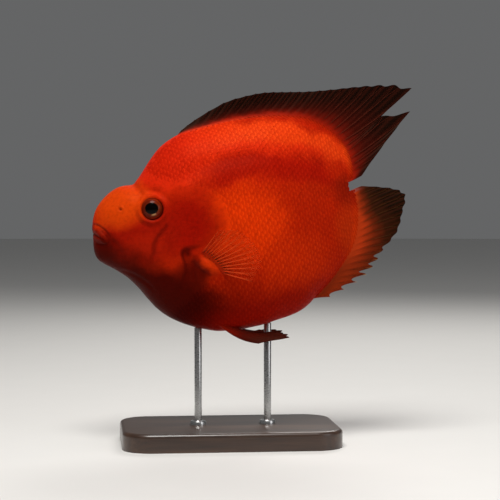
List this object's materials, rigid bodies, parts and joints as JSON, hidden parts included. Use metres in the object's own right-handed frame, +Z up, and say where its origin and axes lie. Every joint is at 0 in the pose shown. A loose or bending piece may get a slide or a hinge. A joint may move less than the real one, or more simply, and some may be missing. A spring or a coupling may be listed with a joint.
{
  "type": "blood parrot cichlid",
  "caption": "Still life-size model of a round-bodied aquarium cichlid with tall dorsal and anal fins and no tail fin, held on a flat base by two rods.",
  "frame": {"origin": "centre of the stand base's underside", "axes": "+Z up; the fish's head points along -X and its left flank faces -Y"},
  "size_m": [0.1759, 0.074, 0.1956],
  "materials": {
    "skin": "orange-red scaled skin with a wet satin gloss",
    "fin": "dark maroon ray fin, orange-red at its root",
    "eye": "clear cornea over a pale olive iris and a black pupil",
    "stand_base": "dark satin-varnished hardwood",
    "stand_rod": "brushed"
  },
  "bodies": {
    "root": {"head": "skin", "trunk": "skin", "gill_cover_left": "skin", "gill_cover_right": "skin", "eye_left": "eye", "eye_right": "eye", "dorsal_fin": "fin", "anal_fin": "fin", "pectoral_fin_left": "fin", "pectoral_fin_right": "fin", "pelvic_fin_left": "fin", "pelvic_fin_right": "fin", "stand_base": "stand_base", "stand_rod_front": "stand_rod", "stand_rod_rear": "stand_rod"}
  },
  "joints": []
}
